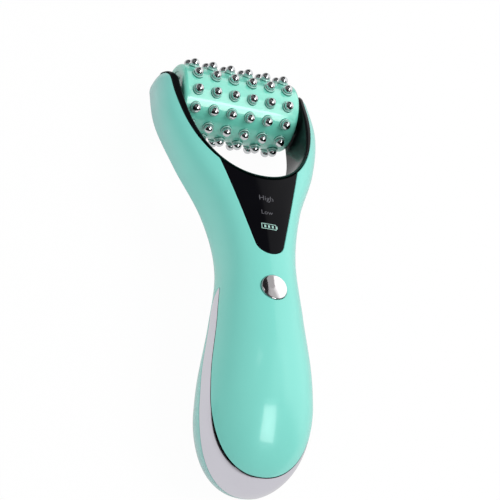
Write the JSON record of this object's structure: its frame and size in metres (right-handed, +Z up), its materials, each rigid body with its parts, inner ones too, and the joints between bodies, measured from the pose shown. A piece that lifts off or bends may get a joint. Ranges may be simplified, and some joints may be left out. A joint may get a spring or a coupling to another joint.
{
  "type": "facial toning device",
  "caption": "Hand-held facial toning device: studded roller turning in a fork, display, push button and a plated band round the tail of the grip.",
  "frame": {"origin": "centre of the footprint, on the table that the device lies on", "axes": "+Y along the handle towards the roller, +Z up out of the face with the display and button, +X along the roller's axle"},
  "size_m": [0.0726, 0.202, 0.054],
  "materials": {
    "mint_shell": "gloss moulded, pale mint",
    "mint_roller": "gloss moulded, pale mint",
    "plated_band": "bright plated plastic",
    "black_trim": "gloss black moulding",
    "display_black": "polished black window",
    "clear_guide": "clear moulded light guide",
    "chrome_button": "plated, domed",
    "silicone": "soft translucent silicone",
    "switch_metal": "stamped tin-plated steel",
    "switch_black": "matt black plastic",
    "board_green": "solder-resist green laminate",
    "chip_black": "moulded epoxy",
    "led_lens": "pale phosphor lens",
    "coil_copper": "enamelled copper winding",
    "cell_sleeve": "shrink sleeve",
    "foam_grey": "closed-cell foam",
    "socket_black": "moulded nylon",
    "screw_steel": "zinc-plated steel",
    "lead_red": "PVC insulation",
    "contact_bronze": "bare phosphor bronze",
    "axle_steel": "ground steel",
    "bush_nylon": "natural acetal",
    "stud_chrome": "bright plated steel balls"
  },
  "bodies": {
    "housing": {"front_shell": "mint_shell", "rear_shell": "mint_shell", "hand_electrode": "plated_band", "fork_liner": "black_trim", "display_window": "display_black", "light_guide": "clear_guide", "button_pad": "silicone", "switch_body": "switch_metal", "main_board": "board_green", "board_chips": "chip_black", "indicator_leds": "led_lens", "step_up_coil": "coil_copper", "battery_cell": "cell_sleeve", "battery_pad": "foam_grey", "charging_socket": "socket_black", "case_screws": "screw_steel", "board_screws": "screw_steel", "wire_leads": "lead_red", "contact_strip": "contact_bronze", "axle": "axle_steel", "contact_washers": "contact_bronze"},
    "roller": {"roller_drum": "mint_roller", "roller_cap_left": "mint_roller", "roller_cap_right": "mint_roller", "contact_sleeve": "contact_bronze", "ball_studs": "stud_chrome", "axle_bush_left": "bush_nylon", "axle_bush_right": "bush_nylon"},
    "button": {"button_cap": "chrome_button", "switch_plunger": "switch_black"}
  },
  "joints": [
    {"name": "roller_spin", "type": "hinge", "parent": "housing", "child": "roller", "pos_m": [0, 0.08296, 0.01808], "axis": [1, 0, 0], "continuous": true},
    {"name": "button_press", "type": "slide", "parent": "housing", "child": "button", "axis": [0, 0, -1], "range_m": [0, 0.0006], "stiffness_N_per_m": 2500, "springref_m": -0.0003, "deforming": ["button_pad"]}
  ]
}
